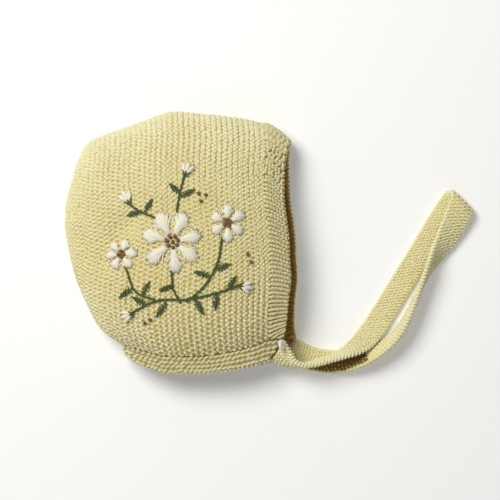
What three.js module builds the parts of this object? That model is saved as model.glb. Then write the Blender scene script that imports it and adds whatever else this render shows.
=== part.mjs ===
// A hand-knitted baby bonnet lying on its side, in millimetres.
// +X runs from the back of the head to the face, +Y from the neck to the top, +Z up from the table.
// The cap is one folded layer of knitting: a near side above, a far side on the table,
// joined by a fold along the back and the top, and open at the face and at the neck.

import * as THREE from "three";
import { mergeVertices } from "three/addons/utils/BufferGeometryUtils.js";

// Sizes of the knitting
const WALL = 3; // thickness of the garter fabric
const BAND_WALL = 3.2; // thickness of the ribbed edge at the face
const STRAP_WALL = 3;
const SEAM_TRIM = 0.75; // how far a piece keeps from the seam line, so that lips don't touch
const EDGE_ROUND = 0.15; // how far a cut edge bulges, as a share of the wall

// Heights of the lying cap
const FOLD_LEVEL = 12; // the folds' height above the table
const NEAR_RISE = 39; // how far the near side swells above the folds
const FACE_SINK = 0.5; // share of the swell that is gone at the face edge
const FACE_REACH = 30;
const NECK_SINK = 0.6; // share of the swell that is gone at the neck seam
const NECK_REACH = 20;
const NEAR_ROUND = 2.35; // superellipse power of the near side
const FAR_ROUND = 6; // the far side is pressed flat by the table
const FAR_PRESS = 1.12;
const FAR_SHIFT = 4; // the far face edge shows this much past the near one
const FAR_FLARE = 4.5; // and its lower corner flares out this much more into the strap
const FLARE_REACH = 7;

// Ribs and ridges
const RIB_PITCH = 5.5;
const RIB_RISE = 0.45;
const NECK_RIDGES = 3;
const RIDGE_RISE = 0.4;

// The outline from the neck seam (up = 0) to the top fold (up = 1):
// the back fold, the line where the ribbed band is joined, and the face edge, as X.
const ROWS = [
  { up: 0.0, back: -37.4, band: 58.0, face: 67.6 },
  { up: 0.04, back: -45.5, band: 58.0, face: 68.3 },
  { up: 0.1, back: -53.5, band: 58.1, face: 69.4 },
  { up: 0.2, back: -60.5, band: 58.8, face: 70.6 },
  { up: 0.3, back: -66.3, band: 59.2, face: 72.1 },
  { up: 0.4, back: -70.2, band: 58.4, face: 71.3 },
  { up: 0.5, back: -72.9, band: 57.4, face: 70.8 },
  { up: 0.6, back: -74.5, band: 56.2, face: 69.4 },
  { up: 0.7, back: -73.4, band: 55.5, face: 67.8 },
  { up: 0.8, back: -69.9, band: 55.2, face: 67.6 },
  { up: 0.9, back: -66.0, band: 56.0, face: 68.5 },
  { up: 0.97, back: -61.1, band: 55.3, face: 71.0 },
  { up: 1.0, back: -57.0, band: 54.9, face: 72.4 },
];

// The outline from the band line (in = 0) to the back fold (in = 1): neck seam and top fold, as Y.
const COLUMNS = [
  { in: 0.0, seam: -63.5, top: 76.7 },
  { in: 0.1, seam: -67.2, top: 79.3 },
  { in: 0.25, seam: -70.9, top: 81.7 },
  { in: 0.4, seam: -73.4, top: 83.4 },
  { in: 0.5, seam: -74.1, top: 84.5 },
  { in: 0.57, seam: -74.2, top: 83.7 },
  { in: 0.7, seam: -74.1, top: 78.4 },
  { in: 0.8, seam: -72.2, top: 74.3 },
  { in: 0.9, seam: -69.5, top: 70.4 },
  { in: 1.0, seam: -66.4, top: 66.2 },
];
const FACE_SEAM_Y = -62.6; // the face edge's lower end
const FACE_TOP_Y = 64; // and its upper end
const TOP_TURN = 1.5; // eases the top fold's turn downward at the band

// The neckband from the strap (in = 0) to the back fold (in = 1): its lower rim, as X and Y.
const NECK_RIM = [
  { in: 0.0, x: 58.3, y: -76.2 },
  { in: 0.1, x: 48.5, y: -79.4 },
  { in: 0.25, x: 34.9, y: -82.2 },
  { in: 0.4, x: 21.3, y: -84.0 },
  { in: 0.55, x: 7.7, y: -84.6 },
  { in: 0.73, x: -10.4, y: -84.4 },
  { in: 0.82, x: -18.0, y: -82.0 },
  { in: 0.92, x: -27.0, y: -79.0 },
  { in: 1.0, x: -35.5, y: -73.5 },
];
const NECK_START_X = 67.2; // where the seam meets the face edge
const CAP_DEPTH = 125; // from the band line to the back fold
const CAP_HEIGHT = 143; // from the neck seam to the top fold
const BAND_WIDTH = 13;
const NECK_HEIGHT = 10;

// A soft crease in the near side, where the back of the crown is gathered.
const CREASE = [
  { x: -68, y: 3 },
  { x: -49, y: -9 },
  { x: -34, y: 12 },
];
const CREASE_DEPTH = 4;
const CREASE_WIDTH = 8;

// The chin strap from the near corner out to its fold and back to the far corner.
// x, y, z is its middle, across is the bearing of its rim-side edge and rise how far that edge
// is turned up: 0 lies flat, 90 stands on edge, 180 lies flat the other way round. It is
// STRAP_WIDTH wide, and wider by the column wide at its fold and where it leaves the neckband.
const STRAP_WIDTH = 14.8;
const STRAP = [
  { x: 63.4, y: -70.6, z: 18.5, across: -128, rise: -8, wide: 0.8 },
  { x: 68.0, y: -75.4, z: 17.4, across: -130, rise: -38 },
  { x: 73.6, y: -79.0, z: 15.6, across: -112, rise: -70 },
  { x: 80.5, y: -80.0, z: 14.0, across: -90, rise: -88 },
  { x: 89.7, y: -78.2, z: 13.0, across: -74, rise: -97 },
  { x: 99.5, y: -75.0, z: 12.2, across: -72, rise: -102 },
  { x: 108.2, y: -71.4, z: 10.6, across: -65, rise: -114 },
  { x: 115.6, y: -67.2, z: 7.4, across: -52, rise: -138 },
  { x: 121.6, y: -61.8, z: 4.3, across: -42, rise: -160 },
  { x: 127.6, y: -54.2, z: 2.3, across: -36, rise: -174 },
  { x: 137.2, y: -39.0, z: 1.7, across: -33, rise: 180 },
  { x: 147.6, y: -22.1, z: 1.7, across: -32, rise: 180 },
  { x: 158.4, y: -4.6, z: 1.7, across: -32, rise: 180 },
  { x: 168.6, y: 11.6, z: 1.7, across: -35, rise: 180, wide: 1 },
  { x: 176.0, y: 22.2, z: 1.7, across: -41, rise: 180, wide: 2 },
  { x: 180.2, y: 27.0, z: 2.0, across: -43, rise: 180, wide: 2.5 },
  { x: 183.2, y: 27.0, z: 3.9, across: -43, rise: 180, wide: 2.5 },
  { x: 183.6, y: 24.2, z: 5.8, across: -43, rise: 180, wide: 2.5 },
  { x: 181.4, y: 18.6, z: 6.1, across: -41, rise: 176, wide: 2 },
  { x: 177.6, y: 10.4, z: 6.0, across: -36, rise: 166, wide: 1 },
  { x: 172.8, y: 1.0, z: 6.3, across: -32, rise: 150 },
  { x: 167.2, y: -8.6, z: 7.3, across: -30, rise: 127 },
  { x: 162.4, y: -17.2, z: 8.0, across: -29, rise: 108 },
  { x: 158.0, y: -26.4, z: 8.2, across: -26, rise: 96 },
  { x: 153.8, y: -36.0, z: 8.2, across: -24, rise: 89 },
  { x: 149.6, y: -45.6, z: 8.2, across: -26, rise: 83 },
  { x: 144.2, y: -55.6, z: 8.1, across: -34, rise: 76 },
  { x: 136.6, y: -64.6, z: 7.9, across: -48, rise: 68 },
  { x: 126.6, y: -71.6, z: 7.2, across: -60, rise: 58 },
  { x: 115.8, y: -76.0, z: 5.9, across: -70, rise: 43 },
  { x: 104.8, y: -78.0, z: 3.8, across: -82, rise: 21 },
  { x: 94.6, y: -77.8, z: 2.0, across: -94, rise: 4 },
  { x: 85.6, y: -76.0, z: 1.7, across: -106, rise: 0 },
  { x: 77.0, y: -73.2, z: 1.7, across: -114, rise: 0, wide: 1.5 },
  { x: 69.9, y: -70.4, z: 1.7, across: -130, rise: 0, wide: 3 },
];

// The button at the near lower corner of the face band
const BUTTON_RADIUS = 3.6;
const BUTTON_THICK = 1.8;
const BUTTON_HOLE = 0.4;
const BUTTON_PLACE = new THREE.Vector3(65.6, -66.6, 24.6);
const BUTTON_TILT = THREE.MathUtils.degToRad(66);

// How finely the pieces are cut up
const CROWN_COLUMNS = 20;
const CROWN_ROWS = 22;
const BAND_ROWS = 2;
const NECK_COLUMNS = 15;
const NECK_ROWS = 12;
const STRAP_STEPS = 76;

const COLOURS = {
  garter: { color: 0xdccf9c, roughness: 0.95, metalness: 0 },
  rib: { color: 0xd2c594, roughness: 0.95, metalness: 0 },
  strap: { color: 0xe0d5a6, roughness: 0.95, metalness: 0 },
  pearl: { color: 0xe6e0d2, roughness: 0.35, metalness: 0 },
};

const lerp = THREE.MathUtils.lerp;

// A smooth curve through one column of a table, read at a value of its key column.
function reader(table, key, column) {
  const points = table.map((row) => new THREE.Vector2(row[key], row[column]));
  return (at) => {
    const last = points.length - 2;
    let i = 0;
    while (i < last && at > points[i + 1].x) i += 1;
    const a = points[i];
    const b = points[i + 1];
    const slope = (k) => {
      const before = points[Math.max(k - 1, 0)];
      const after = points[Math.min(k + 1, points.length - 1)];
      return (after.y - before.y) / (after.x - before.x);
    };
    const span = b.x - a.x;
    const t = THREE.MathUtils.clamp((at - a.x) / span, 0, 1);
    const tt = t * t;
    const ttt = tt * t;
    return (
      (2 * ttt - 3 * tt + 1) * a.y +
      (ttt - 2 * tt + t) * span * slope(i) +
      (3 * tt - 2 * ttt) * b.y +
      (ttt - tt) * span * slope(i + 1)
    );
  };
}

const backX = reader(ROWS, "up", "back");
const bandX = reader(ROWS, "up", "band");
const faceX = reader(ROWS, "up", "face");
const seamY = reader(COLUMNS, "in", "seam");
const topY = reader(COLUMNS, "in", "top");
const rimX = reader(NECK_RIM, "in", "x");
const rimY = reader(NECK_RIM, "in", "y");

// A superellipse's height, 1 in the open and 0 at the fold.
function roundOff(at, power) {
  const inside = Math.min(Math.max(at, 0), 1);
  return (1 - inside ** power) ** (1 / power);
}

// Places from 0 to 1 that are evenly spaced along a superellipse of a given length and height.
function evenSteps(count, power, length, height) {
  const fine = 4000;
  const places = [0];
  const run = [0];
  for (let i = 1; i <= fine; i += 1) {
    const at = 1 - (1 - i / fine) ** 3;
    const before = places[i - 1];
    const drop = height * (roundOff(at, power) - roundOff(before, power));
    places.push(at);
    run.push(run[i - 1] + Math.hypot(length * (at - before), drop));
  }
  const total = run[fine];
  const steps = [];
  let k = 0;
  for (let i = 0; i <= count; i += 1) {
    const wanted = (total * i) / count;
    while (k < fine && run[k + 1] < wanted) k += 1;
    const share = k < fine ? (wanted - run[k]) / (run[k + 1] - run[k]) : 0;
    steps.push(k < fine ? lerp(places[k], places[k + 1], Math.min(share, 1)) : 1);
  }
  return steps;
}

function distanceToPath(x, y, path) {
  let best = Infinity;
  for (let i = 0; i + 1 < path.length; i += 1) {
    const a = path[i];
    const b = path[i + 1];
    const dx = b.x - a.x;
    const dy = b.y - a.y;
    const t = THREE.MathUtils.clamp(((x - a.x) * dx + (y - a.y) * dy) / (dx * dx + dy * dy), 0, 1);
    best = Math.min(best, Math.hypot(x - a.x - t * dx, y - a.y - t * dy));
  }
  return best;
}

// Height of the near side above the table, at a plan position and its shares toward the two folds.
function nearZ(x, y, toFace, toNeck, inward, up) {
  const face = 1 - FACE_SINK * Math.exp(-toFace / FACE_REACH);
  const neck = 1 - NECK_SINK * Math.exp(-toNeck / NECK_REACH);
  const round = roundOff(inward, NEAR_ROUND) * roundOff(up, NEAR_ROUND);
  const crease = CREASE_DEPTH * Math.exp(-((distanceToPath(x, y, CREASE) / CREASE_WIDTH) ** 2));
  return FOLD_LEVEL + round * (NEAR_RISE * face * neck - crease);
}

// Height of the far side: flat on the table, turned up at the folds.
function farZ(inward, up) {
  const round = roundOff(inward, FAR_ROUND) * roundOff(up, FAR_ROUND);
  return Math.max(0, FOLD_LEVEL * (1 - FAR_PRESS * round));
}

function farShift(inward, up) {
  return FAR_SHIFT * (1 - inward) * (1 - up ** FAR_ROUND);
}

// A point of the garter cap: inward 0 at the band line to 1 at the back fold, up 0 to 1.
function capPoint(near, inward, up) {
  const x = lerp(bandX(up), backX(up), inward);
  const y = lerp(seamY(inward), topY(inward), up);
  if (!near) return new THREE.Vector3(x + farShift(inward, up), y, farZ(inward, up));
  const toFace = faceX(up) - x;
  return new THREE.Vector3(x, y, nearZ(x, y, toFace, y - seamY(inward), inward, up));
}

// A point of the ribbed band: out 0 at the band line to 1 at the face edge, up 0 to 1.
function bandPoint(near, out, up) {
  const x = lerp(bandX(up), faceX(up), out);
  const low = lerp(seamY(0), FACE_SEAM_Y, out);
  const high = lerp(topY(0), FACE_TOP_Y, out ** TOP_TURN);
  const y = lerp(low, high, up);
  if (!near) {
    const flare = FAR_FLARE * out ** 2 * Math.exp((low - y) / FLARE_REACH);
    return new THREE.Vector3(x + farShift(0, up) + flare, y, farZ(0, up));
  }
  return new THREE.Vector3(x, y, nearZ(x, y, faceX(up) - x, y - low, 0, up));
}

// A point of the neckband: inward 0 at the strap to 1 at the back fold, down 0 at the seam to 1.
function neckPoint(near, inward, down) {
  const seamX = lerp(NECK_START_X, backX(0), inward);
  const capShare = (bandX(0) - seamX) / (bandX(0) - backX(0));
  const upperY = seamY(Math.max(capShare, 0)) - (capShare < 0 ? capShare * 9 : 0);
  const x = lerp(seamX, rimX(inward), down);
  const y = lerp(upperY, rimY(inward), down);
  const share = Math.max(capShare, 0);
  if (!near) {
    const flare = FAR_FLARE * Math.max(0, 1 - (inward * CAP_DEPTH) / BAND_WIDTH) ** 2 * (1 - down / 2);
    return new THREE.Vector3(x + farShift(share, 0) + flare, y, farZ(share, 0));
  }
  return new THREE.Vector3(x, y, nearZ(x, y, faceX(0) - x, 0, share, 0));
}

// Closed solid of a layer of fabric. points[i][j] is its outer side, with the outside where
// i crossed with j points, and relief raises that side. With folded set the last row is doubled
// back on itself, so that its two halves are one fold.
function fabricGeometry(points, wall, { relief = () => 0, folded = false } = {}) {
  const rows = points.length;
  const cols = points[0].length;
  const vertex = (i, j) => i * cols + (folded && i === rows - 1 ? Math.min(j, cols - 1 - j) : j);
  const smooth = points.flat();
  const cells = [];
  for (let i = 0; i + 1 < rows; i += 1) {
    for (let j = 0; j + 1 < cols; j += 1) {
      cells.push([vertex(i, j), vertex(i + 1, j), vertex(i + 1, j + 1), vertex(i, j + 1)]);
    }
  }
  const normals = smooth.map(() => new THREE.Vector3());
  for (const cell of cells) {
    const [a, b, c, d] = cell.map((k) => smooth[k]);
    const normal = c.clone().sub(a).cross(d.clone().sub(b));
    for (const k of new Set(cell)) normals[k].add(normal);
  }
  normals.forEach((normal) => normal.normalize());
  const raised = (k) => relief(Math.floor(k / cols), k % cols);
  const outer = smooth.map((point, k) => point.clone().addScaledVector(normals[k], raised(k)));
  for (const point of outer) point.z = Math.max(point.z, 0);
  const inner = smooth.map((point, k) => point.clone().addScaledVector(normals[k], -wall));

  const triangles = [];
  const quad = (a, b, c, d) => triangles.push([a, b, c], [a, c, d]);
  for (const [a, b, c, d] of cells) {
    quad(outer[a], outer[b], outer[c], outer[d]);
    quad(inner[a], inner[d], inner[c], inner[b]);
  }

  // The open edges, each a run of vertices paired with their neighbours inside the fabric.
  const span = (count) => [...Array(count).keys()];
  const edges = [
    span(cols).map((j) => [vertex(0, j), vertex(1, j)]),
    span(rows).reverse().map((i) => [vertex(i, 0), vertex(i, 1)]),
    span(rows).map((i) => [vertex(i, cols - 1), vertex(i, cols - 2)]),
  ];
  if (!folded) {
    edges.push(span(cols).reverse().map((j) => [vertex(rows - 1, j), vertex(rows - 2, j)]));
  }
  const away = new Map();
  for (const [k, inside] of edges.flat()) {
    const step = smooth[k].clone().sub(smooth[inside]).normalize();
    away.set(k, (away.get(k) ?? new THREE.Vector3()).add(step));
  }
  const lip = (k) => {
    const middle = outer[k].clone().add(inner[k]).multiplyScalar(0.5);
    return middle.addScaledVector(away.get(k).clone().normalize(), wall * EDGE_ROUND);
  };
  for (const edge of edges) {
    for (let k = 0; k + 1 < edge.length; k += 1) {
      const a = edge[k][0];
      const b = edge[k + 1][0];
      quad(outer[a], outer[b], lip(b), lip(a));
      quad(lip(a), lip(b), inner[b], inner[a]);
    }
  }
  return closedGeometry(triangles);
}

function closedGeometry(triangles) {
  const corners = [];
  for (const triangle of triangles) {
    for (const point of triangle) corners.push(point.x, point.y, point.z);
  }
  const loose = new THREE.BufferGeometry();
  loose.setAttribute("position", new THREE.Float32BufferAttribute(corners, 3));
  const closed = mergeVertices(loose, 1e-4);
  closed.computeVertexNormals();
  return closed;
}

// The garter cap, from the near band line round the back fold to the far band line. Both layers
// take the same places along the top fold, so that the last row closes on itself.
function crownGeometry() {
  const near = evenSteps(CROWN_COLUMNS, NEAR_ROUND, CAP_DEPTH, NEAR_RISE);
  const far = evenSteps(CROWN_COLUMNS, FAR_ROUND, CAP_DEPTH, FOLD_LEVEL);
  const ups = evenSteps(CROWN_ROWS, NEAR_ROUND, CAP_HEIGHT, NEAR_RISE);
  const inwardTrim = SEAM_TRIM / CAP_DEPTH;
  const points = ups.map((height) => {
    const up = Math.max(height, SEAM_TRIM / CAP_HEIGHT);
    const nearRow = near.map((inward) => capPoint(true, Math.max(inward, inwardTrim), up));
    const farRow = far.slice(0, -1).map((inward, k) => {
      const place = lerp(inward, near[k], up ** FAR_ROUND);
      return capPoint(false, Math.max(place, inwardTrim), up);
    });
    return [...nearRow, ...farRow.reverse()];
  });
  return fabricGeometry(points, WALL, { folded: true });
}

// The ribbed band round the face, from the near neck corner over the top fold to the far corner.
// Its ribs cross the band, four columns to a rib.
function faceBandGeometry() {
  const ribsOfLayer = Math.round(CAP_HEIGHT / RIB_PITCH);
  const near = evenSteps(ribsOfLayer * 4, NEAR_ROUND, CAP_HEIGHT, NEAR_RISE * FACE_SINK);
  const far = evenSteps(ribsOfLayer * 4, FAR_ROUND, CAP_HEIGHT, FOLD_LEVEL);
  const lowest = SEAM_TRIM / CAP_HEIGHT;
  const points = [];
  for (let i = 0; i <= BAND_ROWS; i += 1) {
    const out = lerp(SEAM_TRIM / BAND_WIDTH, 1, i / BAND_ROWS);
    const nearRow = near.map((up) => bandPoint(true, out, Math.max(up, lowest)));
    const farRow = far.slice(0, -1).map((up) => bandPoint(false, out, Math.max(up, lowest)));
    points.push([...nearRow, ...farRow.reverse()]);
  }
  const relief = (i, j) => (j % 4 < 2 ? RIB_RISE : -RIB_RISE);
  return fabricGeometry(points, BAND_WALL, { relief });
}

// The garter neckband under the seam, its ridges running lengthwise.
function neckBandGeometry() {
  const near = evenSteps(NECK_COLUMNS, NEAR_ROUND, CAP_DEPTH, NEAR_RISE * (1 - NECK_SINK));
  const far = evenSteps(NECK_COLUMNS, FAR_ROUND, CAP_DEPTH, FOLD_LEVEL);
  const points = [];
  for (let i = 0; i <= NECK_ROWS; i += 1) {
    const down = lerp(1, SEAM_TRIM / NECK_HEIGHT, i / NECK_ROWS);
    const nearRow = near.map((inward) => neckPoint(true, inward, down));
    const farRow = far.slice(0, -1).map((inward) => neckPoint(false, inward, down));
    points.push([...nearRow, ...farRow.reverse()]);
  }
  const turn = (2 * Math.PI * NECK_RIDGES) / NECK_ROWS;
  const relief = (i) => -RIDGE_RISE * Math.cos(turn * i);
  return fabricGeometry(points, WALL, { relief });
}

// The chin strap: a flat band swept along its middle, with its rim-side edge turned as tabled.
function strapGeometry() {
  const middle = new THREE.CatmullRomCurve3(STRAP.map((row) => new THREE.Vector3(row.x, row.y, row.z)));
  const edge = new THREE.CatmullRomCurve3(
    STRAP.map((row) => {
      const across = THREE.MathUtils.degToRad(row.across);
      const rise = THREE.MathUtils.degToRad(row.rise);
      const flat = Math.cos(rise);
      return new THREE.Vector3(Math.cos(across) * flat, Math.sin(across) * flat, Math.sin(rise));
    }),
  );
  const widening = new THREE.CatmullRomCurve3(
    STRAP.map((row) => new THREE.Vector3(row.wide ?? 0, 0, 0)),
  );
  const half = STRAP_WIDTH / 2;
  const section = [
    [half, 0],
    [half - 0.9, STRAP_WALL / 2],
    [half / 3, STRAP_WALL / 2],
    [-half / 3, STRAP_WALL / 2],
    [0.9 - half, STRAP_WALL / 2],
    [-half, 0],
    [0.9 - half, -STRAP_WALL / 2],
    [-half / 3, -STRAP_WALL / 2],
    [half / 3, -STRAP_WALL / 2],
    [half - 0.9, -STRAP_WALL / 2],
  ];
  const rings = [];
  for (let i = 0; i <= STRAP_STEPS; i += 1) {
    const at = middle.getUtoTmapping(i / STRAP_STEPS);
    const along = middle.getTangent(at);
    const across = edge.getPoint(at);
    const share = 1 + widening.getPoint(at).x / STRAP_WIDTH;
    across.normalize();
    const thick = along.clone().cross(across).normalize();
    rings.push(
      section.map(([w, t]) =>
        middle.getPoint(at).addScaledVector(across, w * share).addScaledVector(thick, t),
      ),
    );
  }
  const triangles = [];
  const sides = section.length;
  for (let i = 0; i < STRAP_STEPS; i += 1) {
    for (let k = 0; k < sides; k += 1) {
      const next = (k + 1) % sides;
      const [a, b, c, d] = [rings[i][k], rings[i][next], rings[i + 1][next], rings[i + 1][k]];
      triangles.push([a, b, c], [a, c, d]);
    }
  }
  for (let k = 1; k + 1 < sides; k += 1) {
    triangles.push([rings[0][0], rings[0][k + 1], rings[0][k]]);
    const end = rings[STRAP_STEPS];
    triangles.push([end[0], end[k], end[k + 1]]);
  }
  return closedGeometry(triangles);
}

// A small round button with two holes and a rounded rim.
function buttonGeometry() {
  const face = new THREE.Shape();
  const bevel = BUTTON_THICK / 4;
  face.absarc(0, 0, BUTTON_RADIUS - bevel, 0, 2 * Math.PI);
  for (const side of [-1, 1]) {
    const hole = new THREE.Path();
    hole.absarc(side * BUTTON_RADIUS * 0.3, 0, BUTTON_HOLE + bevel, 0, 2 * Math.PI, true);
    face.holes.push(hole);
  }
  const geometry = new THREE.ExtrudeGeometry(face, {
    depth: BUTTON_THICK - 2 * bevel,
    bevelThickness: bevel,
    bevelSize: bevel,
    bevelSegments: 2,
    curveSegments: 10,
  });
  geometry.deleteAttribute("normal");
  geometry.deleteAttribute("uv");
  const closed = mergeVertices(geometry, 1e-4);
  closed.computeVertexNormals();
  return closed;
}

function piece(name, geometry, colour) {
  const mesh = new THREE.Mesh(geometry, new THREE.MeshStandardMaterial(colour));
  mesh.name = name;
  return mesh;
}

const button = piece("button", buttonGeometry(), COLOURS.pearl);
button.position.copy(BUTTON_PLACE);
button.rotation.set(0, BUTTON_TILT, 0);

const bonnet = new THREE.Group();
bonnet.name = "bonnet";
bonnet.add(
  piece("crown_shell", crownGeometry(), COLOURS.garter),
  piece("face_band", faceBandGeometry(), COLOURS.rib),
  piece("neck_band", neckBandGeometry(), COLOURS.garter),
  piece("chin_strap", strapGeometry(), COLOURS.strap),
  button,
);

export default bonnet;
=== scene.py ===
# A hand-knitted baby bonnet lying on its side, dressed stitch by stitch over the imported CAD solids.
# The surfaces repeat the CAD part's formulas in millimetres, in the CAD part's own frame.

import itertools
import math

import bpy
import numpy as np
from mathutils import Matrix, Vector


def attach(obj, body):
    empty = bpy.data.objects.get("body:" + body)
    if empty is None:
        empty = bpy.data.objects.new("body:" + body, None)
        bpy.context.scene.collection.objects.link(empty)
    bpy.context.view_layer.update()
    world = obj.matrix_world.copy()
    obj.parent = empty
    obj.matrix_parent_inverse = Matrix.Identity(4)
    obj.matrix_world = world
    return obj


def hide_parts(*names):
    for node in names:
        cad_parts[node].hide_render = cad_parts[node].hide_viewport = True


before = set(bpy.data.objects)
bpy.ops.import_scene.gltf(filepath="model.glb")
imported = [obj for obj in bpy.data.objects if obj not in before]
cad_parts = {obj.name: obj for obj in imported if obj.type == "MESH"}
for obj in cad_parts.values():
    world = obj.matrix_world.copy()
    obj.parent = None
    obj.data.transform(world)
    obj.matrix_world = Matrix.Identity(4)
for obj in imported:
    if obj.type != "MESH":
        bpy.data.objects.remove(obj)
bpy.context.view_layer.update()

MM = 0.001

# Sizes of the knitting, as in the CAD part
WALL = 3.0
BAND_WALL = 3.2
STRAP_WALL = 3.0
SEAM_TRIM = 0.75
FOLD_LEVEL = 12.0
NEAR_RISE = 39.0
FACE_SINK = 0.5
FACE_REACH = 30.0
NECK_SINK = 0.6
NECK_REACH = 20.0
NEAR_ROUND = 2.35
FAR_ROUND = 6.0
FAR_PRESS = 1.12
FAR_SHIFT = 4.0
FAR_FLARE = 4.5
FLARE_REACH = 7.0
FACE_SEAM_Y = -62.6
FACE_TOP_Y = 64.0
TOP_TURN = 1.5
NECK_START_X = 67.2
NECK_FRONT_RISE = 9.0  # of the neck seam in front of the cap, over the cap's depth
NECK_LENGTH = 112.0
CAP_DEPTH = 125.0
CAP_HEIGHT = 143.0
BAND_WIDTH = 13.0
NECK_HEIGHT = 10.0
CREASE = np.array([(-68.0, 3.0), (-49.0, -9.0), (-34.0, 12.0)])
CREASE_DEPTH = 4.0
CREASE_WIDTH = 8.0

# up, back fold x, band line x, face edge x
ROWS = np.array([
    (0.0, -37.4, 58.0, 67.6),
    (0.04, -45.5, 58.0, 68.3),
    (0.1, -53.5, 58.1, 69.4),
    (0.2, -60.5, 58.8, 70.6),
    (0.3, -66.3, 59.2, 72.1),
    (0.4, -70.2, 58.4, 71.3),
    (0.5, -72.9, 57.4, 70.8),
    (0.6, -74.5, 56.2, 69.4),
    (0.7, -73.4, 55.5, 67.8),
    (0.8, -69.9, 55.2, 67.6),
    (0.9, -66.0, 56.0, 68.5),
    (0.97, -61.1, 55.3, 71.0),
    (1.0, -57.0, 54.9, 72.4),
])
# inward, neck seam y, top fold y
COLUMNS = np.array([
    (0.0, -63.5, 76.7),
    (0.1, -67.2, 79.3),
    (0.25, -70.9, 81.7),
    (0.4, -73.4, 83.4),
    (0.5, -74.1, 84.5),
    (0.57, -74.2, 83.7),
    (0.7, -74.1, 78.4),
    (0.8, -72.2, 74.3),
    (0.9, -69.5, 70.4),
    (1.0, -66.4, 66.2),
])
# inward, x and y of the neckband's rim
NECK_RIM = np.array([
    (0.0, 58.3, -76.2),
    (0.1, 48.5, -79.4),
    (0.25, 34.9, -82.2),
    (0.4, 21.3, -84.0),
    (0.55, 7.7, -84.6),
    (0.73, -10.4, -84.4),
    (0.82, -18.0, -82.0),
    (0.92, -27.0, -79.0),
    (1.0, -35.5, -73.5),
])
STRAP_WIDTH = 14.8
# The chin strap's middle x, y, z, the bearing and rise of its rim-side edge, and extra width
STRAP = np.array([
    (63.4, -70.6, 18.5, -128, -8, 0.8),
    (68.0, -75.4, 17.4, -130, -38, 0),
    (73.6, -79.0, 15.6, -112, -70, 0),
    (80.5, -80.0, 14.0, -90, -88, 0),
    (89.7, -78.2, 13.0, -74, -97, 0),
    (99.5, -75.0, 12.2, -72, -102, 0),
    (108.2, -71.4, 10.6, -65, -114, 0),
    (115.6, -67.2, 7.4, -52, -138, 0),
    (121.6, -61.8, 4.3, -42, -160, 0),
    (127.6, -54.2, 2.3, -36, -174, 0),
    (137.2, -39.0, 1.7, -33, 180, 0),
    (147.6, -22.1, 1.7, -32, 180, 0),
    (158.4, -4.6, 1.7, -32, 180, 0),
    (168.6, 11.6, 1.7, -35, 180, 1),
    (176.0, 22.2, 1.7, -41, 180, 2),
    (180.2, 27.0, 2.0, -43, 180, 2.5),
    (183.2, 27.0, 3.9, -43, 180, 2.5),
    (183.6, 24.2, 5.8, -43, 180, 2.5),
    (181.4, 18.6, 6.1, -41, 176, 2),
    (177.6, 10.4, 6.0, -36, 166, 1),
    (172.8, 1.0, 6.3, -32, 150, 0),
    (167.2, -8.6, 7.3, -30, 127, 0),
    (162.4, -17.2, 8.0, -29, 108, 0),
    (158.0, -26.4, 8.2, -26, 96, 0),
    (153.8, -36.0, 8.2, -24, 89, 0),
    (149.6, -45.6, 8.2, -26, 83, 0),
    (144.2, -55.6, 8.1, -34, 76, 0),
    (136.6, -64.6, 7.9, -48, 68, 0),
    (126.6, -71.6, 7.2, -60, 58, 0),
    (115.8, -76.0, 5.9, -70, 43, 0),
    (104.8, -78.0, 3.8, -82, 21, 0),
    (94.6, -77.8, 2.0, -94, 4, 0),
    (85.6, -76.0, 1.7, -106, 0, 0),
    (77.0, -73.2, 1.7, -114, 0, 1.5),
    (69.9, -70.4, 1.7, -130, 0, 3),
])

# The stitches
RIDGE_PITCH = 3.55  # from one garter ridge of the cap to the next
STITCH_PITCH = 2.9  # along a ridge
STITCHES_UP = 57  # from the neck seam to the top fold
CREST = 0.6  # height of the stitches' tops over the CAD surface
CORE = 1.15  # radius of the strand under the stitches of a ridge
CORE_DEPTH = 0.95
BED = 0.6  # how far the cloth under the stitches lies below the CAD surface
FAN = 0.07  # how much the ridges spread toward the back low down
FAN_UP = 0.45  # they run straight up above this height
FOLD_CLEAR = 1.2  # free edge of the ridges along the back fold, which has a ridge of its own
STRAND_FLOOR = 0.03  # how far strands and cloth stay above the table
CLOTH_FLOOR = 0.02
# Height on the cap, then its loops' lean off the ridge in radians, how closely the two of a stitch join,
# how far they are drawn to the middle of the ridge in ridges, half their length and their radius
LOOPS = np.array([
    (0.14, 0.95, 0.5, 0.13, 1.05, 1.2),
    (0.28, 0.75, 0.3, 0.09, 0.95, 1.1),
    (0.4, 0.55, 0.1, 0.04, 0.9, 1.0),
    (0.6, 0.55, 0.1, 0.04, 0.9, 1.0),
    (0.76, 0.75, 0.5, 0.06, 1.05, 1.15),
    (0.88, 0.95, 0.9, 0.07, 1.1, 1.3),
    (1.0, 1.05, 0.9, 0.06, 1.05, 1.36),
])
# The same without the height, for the cap's inside, the neckband and the strap, and bigger ones for the
# strap's stitches in painted shadow, which hide the cloth under them
INSIDE_LOOPS = (0.3, 0, 0.06, 1.45, 1.02)
NECK_LOOPS = (0.42, 0, 0.06, 1.85, 1.0)
NECK_INSIDE = (0.3, 0, 0.06, 1.8, 0.9)
STRAP_LOOPS = (0.72, 0, 0.06, 1.125, 0.78)
STRAP_SHADED_LOOPS = (0.72, 0, 0.06, 1.3, 1.0)
LINING_DEPTH = WALL - 0.3  # how far the stitches of the inside lie below the CAD surface
LINING_TOP = 0.97  # height where the lining's stitches stop, inside the fold
LOOP_BOW = 0.1  # sideways bow of a loop, in ridges
LOOP_DIVE = 1.5  # how deep a loop's ends dip, in its radii
LOOP_TAPER = 0.5
JOINED_REACH = 0.5  # how much longer a loop is toward an end that joins the next
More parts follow.
